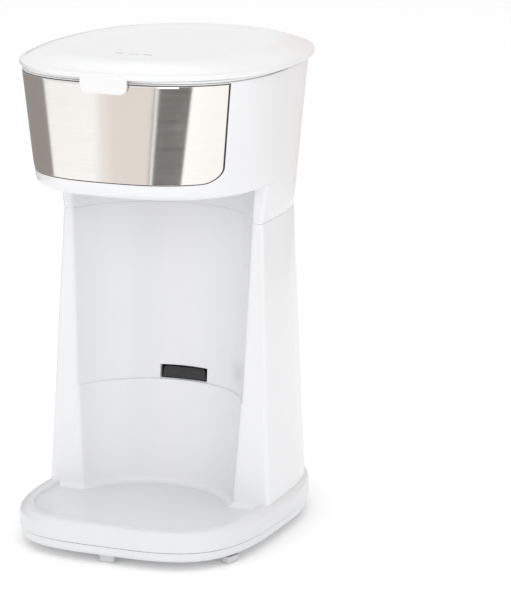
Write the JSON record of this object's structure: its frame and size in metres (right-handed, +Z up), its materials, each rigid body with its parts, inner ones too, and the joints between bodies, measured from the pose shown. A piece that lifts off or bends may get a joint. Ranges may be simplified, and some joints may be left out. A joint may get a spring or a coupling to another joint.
{
  "type": "drip coffee maker",
  "caption": "Compact drip coffee maker with a white casing, brushed steel front panel, domed hinged lid, lift-out filter basket, open mug bay with shallow tray, and a black brew paddle.",
  "frame": {"origin": "under the middle of the whole machine, on the surface its feet stand on", "axes": "+X to the machine's own right side as the picture shows it, -Y out of its front, +Z up"},
  "size_m": [0.1558, 0.1961, 0.2846],
  "materials": {
    "lower_housing": "gloss white moulded plastic",
    "upper_housing": "gloss white moulded plastic",
    "steel_fascia": "fine horizontal brushing",
    "bottom_cover": "gloss white moulded plastic",
    "foot_front": "satin white moulded plastic",
    "foot_left": "satin white moulded plastic",
    "foot_right": "satin white moulded plastic",
    "foot_rear_left": "satin white moulded plastic",
    "foot_rear_right": "satin white moulded plastic",
    "cover_screw_1": "plated steel",
    "cover_screw_2": "plated steel",
    "cover_screw_3": "plated steel",
    "cover_screw_4": "plated steel",
    "lid_shell": "gloss white moulded plastic",
    "hinge_pin": "polished steel rod",
    "lid_seal": "soft silicone",
    "shower_plate": "satin white moulded plastic",
    "water_channel": "satin white moulded plastic",
    "brew_deck": "satin white moulded plastic",
    "filter_basket": "satin black plastic",
    "filter_cup": "fine woven metal mesh",
    "filter_frame": "satin black plastic",
    "water_tank": "satin white moulded plastic",
    "check_valve": "satin white moulded plastic",
    "cold_hose": "soft silicone",
    "riser_hose": "soft silicone",
    "heater_block": "cast aluminium",
    "water_pipe": "cast aluminium",
    "heating_element": "fine horizontal brushing",
    "thermostat": "satin black plastic",
    "thermal_fuse": "fine woven metal mesh",
    "heater_bracket": "fine horizontal brushing",
    "brew_paddle": "satin black plastic",
    "paddle_spring": "polished steel rod",
    "microswitch": "satin black plastic",
    "switch_bracket": "satin white moulded plastic",
    "terminal_block": "satin white moulded plastic",
    "cord_gland": "satin black plastic",
    "switch_lead": "flexible wire insulation",
    "heater_lead": "flexible wire insulation"
  },
  "bodies": {
    "machine": {"lower_housing": "lower_housing", "upper_housing": "upper_housing", "steel_fascia": "steel_fascia", "bottom_cover": "bottom_cover", "foot_front": "foot_front", "foot_left": "foot_left", "foot_right": "foot_right", "foot_rear_left": "foot_rear_left", "foot_rear_right": "foot_rear_right", "cover_screw_1": "cover_screw_1", "cover_screw_2": "cover_screw_2", "cover_screw_3": "cover_screw_3", "cover_screw_4": "cover_screw_4", "hinge_pin": "hinge_pin", "brew_deck": "brew_deck", "water_tank": "water_tank", "check_valve": "check_valve", "cold_hose": "cold_hose", "riser_hose": "riser_hose", "heater_block": "heater_block", "water_pipe": "water_pipe", "heating_element": "heating_element", "thermostat": "thermostat", "thermal_fuse": "thermal_fuse", "heater_bracket": "heater_bracket", "paddle_spring": "paddle_spring", "microswitch": "microswitch", "switch_bracket": "switch_bracket", "terminal_block": "terminal_block", "cord_gland": "cord_gland", "switch_lead": "switch_lead", "heater_lead": "heater_lead"},
    "lid": {"lid_shell": "lid_shell", "lid_seal": "lid_seal", "shower_plate": "shower_plate", "water_channel": "water_channel"},
    "basket": {"filter_basket": "filter_basket", "filter_cup": "filter_cup", "filter_frame": "filter_frame"},
    "paddle": {"brew_paddle": "brew_paddle"}
  },
  "joints": [
    {"name": "lid_hinge", "type": "hinge", "parent": "machine", "child": "lid", "pos_m": [0, 0.0936, 0.2704], "axis": [-1, 0, 0], "range_deg": [0, 100]},
    {"name": "basket_lift", "type": "slide", "parent": "machine", "child": "basket", "axis": [0, 0, 1], "range_m": [0, 0.0595]},
    {"name": "paddle_slide", "type": "slide", "parent": "machine", "child": "paddle", "axis": [0, 1, 0], "range_m": [0, 0.003], "stiffness_N_per_m": 250, "springref_m": -0.0012, "deforming": ["paddle_spring"]}
  ],
  "couplings": [
    {"joint": "basket_lift", "follows": "lid_hinge", "m_per_rad": 0.034}
  ]
}
